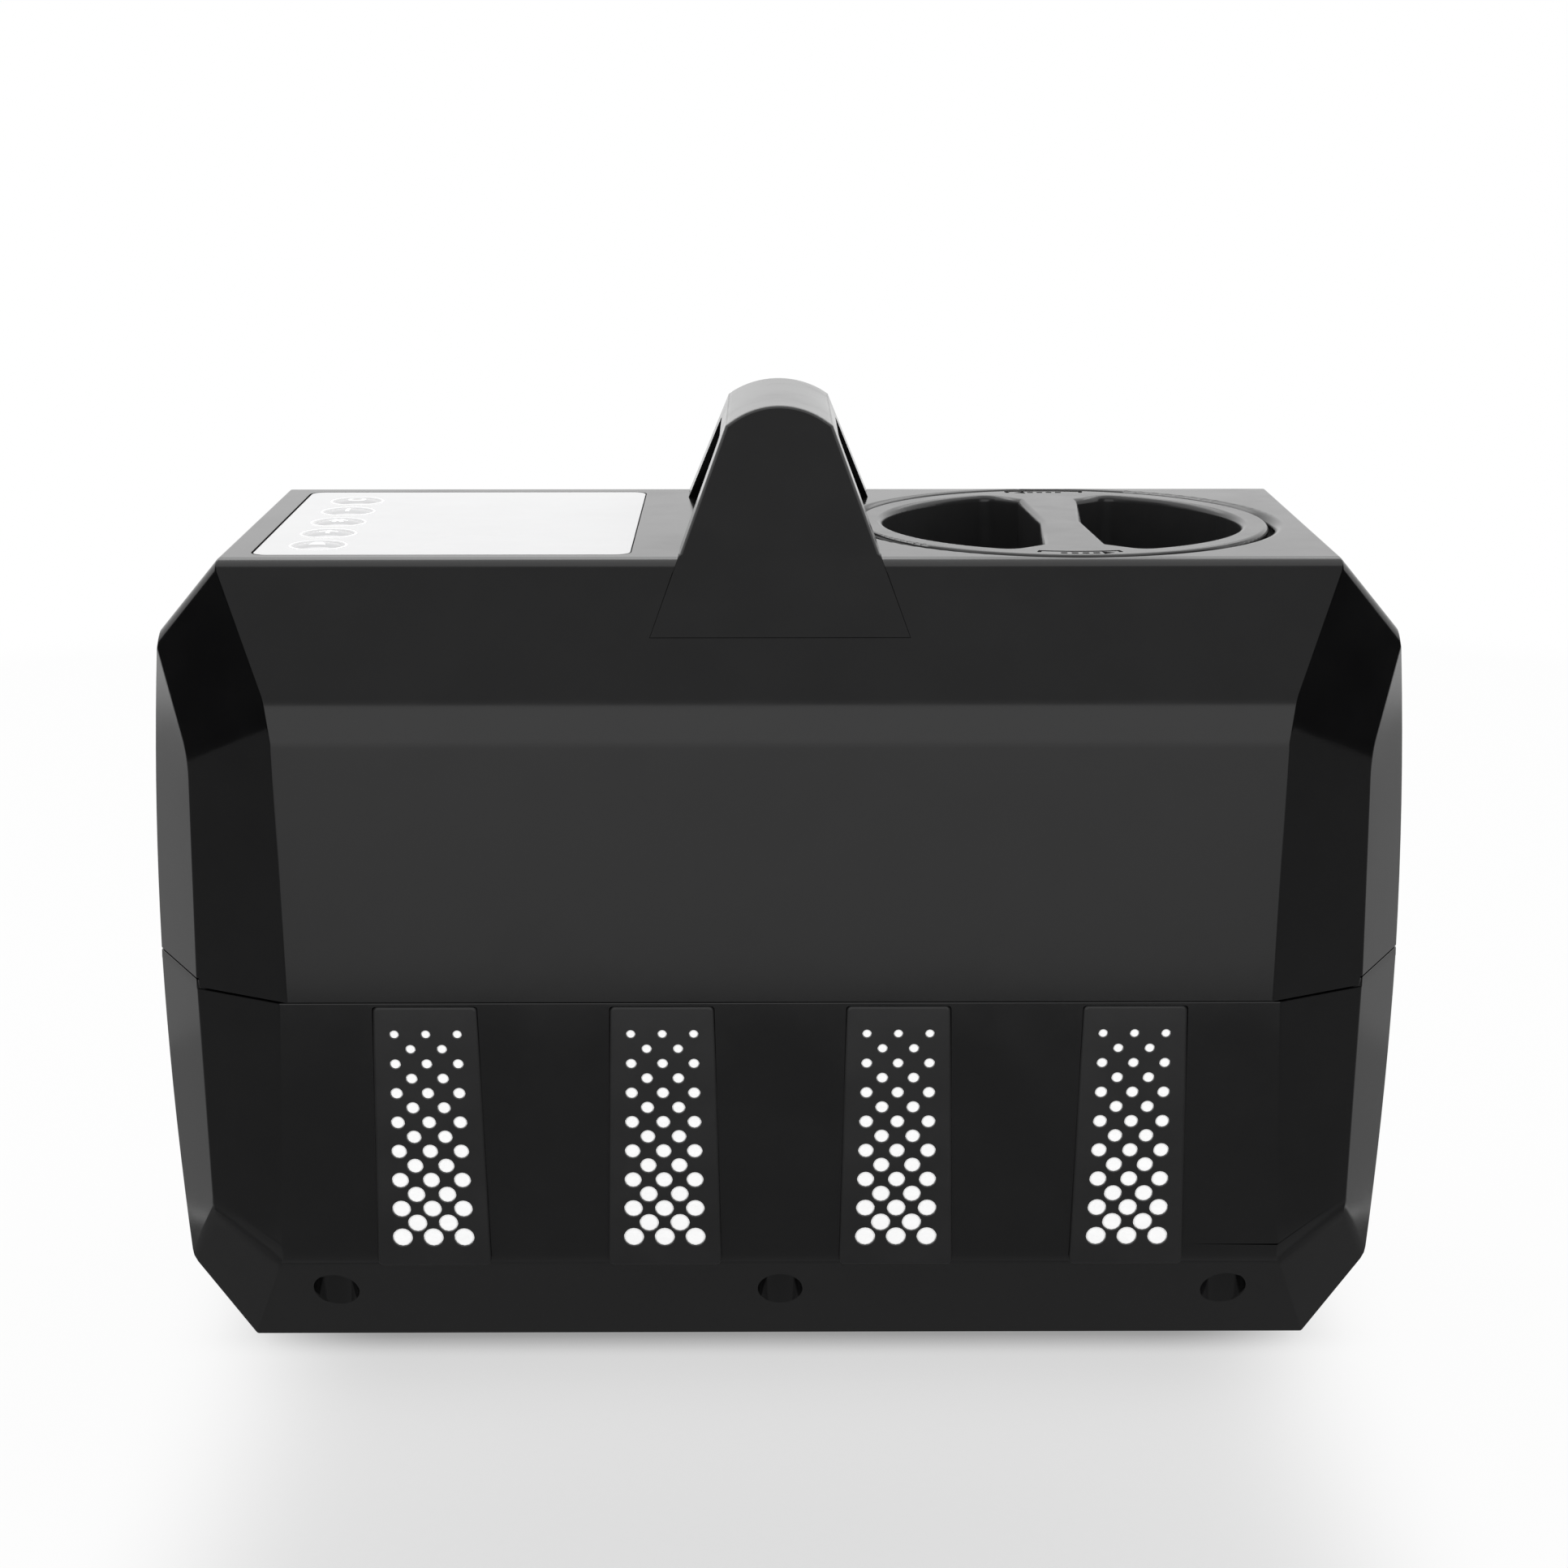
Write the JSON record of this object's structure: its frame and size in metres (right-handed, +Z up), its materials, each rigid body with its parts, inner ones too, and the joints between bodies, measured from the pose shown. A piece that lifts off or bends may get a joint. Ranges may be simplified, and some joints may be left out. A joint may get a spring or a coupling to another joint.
{
  "type": "hot cold therapy machine",
  "caption": "Faceted tabletop hot and cold therapy machine with bridge handle, button fascia, round tank lid, vent strips and hose socket.",
  "frame": {"origin": "on the floor, under the middle of the case (bottom centre of the bounding box)", "axes": "+X along the case towards the lid, -Y towards the vented side shown in front, +Z up"},
  "size_m": [0.358, 0.191, 0.2782],
  "materials": {
    "case_grey": "fine-grained near-black moulding",
    "lid_grey": "fine-grained near-black moulding",
    "vent_grey": "fine-grained near-black moulding",
    "fascia_white": "smooth white",
    "button_grey": "smooth light grey",
    "screw_steel": "zinc plated",
    "seal_rubber": "soft black",
    "inner_plastic": "plain moulding",
    "tank_plastic": "milky white",
    "foam": "closed-cell foam",
    "probe_steel": "stainless",
    "sink_aluminium": "extruded",
    "module_ceramic": "white ceramic faces",
    "bracket_steel": "galvanised sheet",
    "impeller_plastic": "blue moulding",
    "board_green": "solder mask",
    "spacer_brass": "turned",
    "ribbon_white": "flat cable",
    "socket_grey": "plain moulding",
    "lead_black": "jacketed cable",
    "clear_tube": "clear soft tube",
    "air_hose": "black soft tube",
    "filter_white": "white fibre pad"
  },
  "bodies": {
    "case": {"upper_housing": "case_grey", "lower_housing": "case_grey", "carry_handle": "case_grey", "handle_screws": "screw_steel", "base_screws": "screw_steel", "display_panel": "fascia_white", "tank_seal": "seal_rubber", "rubber_feet": "seal_rubber", "tank_cradle": "seal_rubber", "air_pump_pads": "seal_rubber", "tank_collar": "inner_plastic", "reservoir_tank": "tank_plastic", "tank_insulation": "foam", "temperature_probe": "probe_steel", "fan_frame": "inner_plastic", "heat_sink": "sink_aluminium", "water_block": "sink_aluminium", "thermoelectric_module": "module_ceramic", "cooler_bracket": "bracket_steel", "pump_housing": "inner_plastic", "pump_cover": "inner_plastic", "pump_bracket": "inner_plastic", "air_pump": "inner_plastic", "valve_block": "inner_plastic", "display_board": "board_green", "control_board": "board_green", "board_spacers": "spacer_brass", "display_ribbon": "ribbon_white", "hose_socket": "socket_grey", "power_inlet": "inner_plastic", "power_lead": "lead_black", "suction_tube": "clear_tube", "delivery_tube": "clear_tube", "supply_tube": "clear_tube", "return_tube": "clear_tube", "air_tube": "air_hose", "vent_filters": "filter_white", "vent_grille_1": "vent_grey", "vent_grille_2": "vent_grey", "vent_grille_3": "vent_grey", "vent_grille_4": "vent_grey"},
    "lid_seal": {"lid_gasket": "seal_rubber"},
    "lid": {"lid_cap": "lid_grey", "lid_base": "lid_grey"},
    "fan": {"fan_rotor": "inner_plastic"},
    "impeller": {"pump_impeller": "impeller_plastic"},
    "release": {"hose_release": "fascia_white"},
    "key_1": {"button_1": "button_grey"},
    "key_2": {"button_2": "button_grey"},
    "key_3": {"button_3": "button_grey"},
    "key_4": {"button_4": "button_grey"},
    "key_5": {"button_5": "button_grey"}
  },
  "joints": [
    {"name": "button_1_press", "type": "slide", "parent": "case", "child": "key_1", "axis": [0, 0, -1], "range_m": [0, 0.001], "stiffness_N_per_m": 600, "springref_m": -0.0004},
    {"name": "button_2_press", "type": "slide", "parent": "case", "child": "key_2", "axis": [0, 0, -1], "range_m": [0, 0.001], "stiffness_N_per_m": 600, "springref_m": -0.0004},
    {"name": "button_3_press", "type": "slide", "parent": "case", "child": "key_3", "axis": [0, 0, -1], "range_m": [0, 0.001], "stiffness_N_per_m": 600, "springref_m": -0.0004},
    {"name": "button_4_press", "type": "slide", "parent": "case", "child": "key_4", "axis": [0, 0, -1], "range_m": [0, 0.001], "stiffness_N_per_m": 600, "springref_m": -0.0004},
    {"name": "button_5_press", "type": "slide", "parent": "case", "child": "key_5", "axis": [0, 0, -1], "range_m": [0, 0.001], "stiffness_N_per_m": 600, "springref_m": -0.0004},
    {"name": "lid_lift", "type": "slide", "parent": "case", "child": "lid_seal", "axis": [0, 0, 1], "range_m": [0, 0.07]},
    {"name": "lid_twist", "type": "hinge", "parent": "lid_seal", "child": "lid", "pos_m": [0.0834, 0, 0.225], "axis": [0, 0, -1], "range_deg": [0, 30]},
    {"name": "fan_spin", "type": "hinge", "parent": "case", "child": "fan", "pos_m": [-0.0655, -0.0675, 0.08], "axis": [0, 1, 0], "continuous": true},
    {"name": "pump_spin", "type": "hinge", "parent": "case", "child": "impeller", "pos_m": [-0.035, 0.02, 0.05], "axis": [1, 0, 0], "continuous": true},
    {"name": "hose_release_press", "type": "slide", "parent": "case", "child": "release", "axis": [0, -1, 0], "range_m": [0, 0.0025], "stiffness_N_per_m": 900, "springref_m": -0.001}
  ]
}
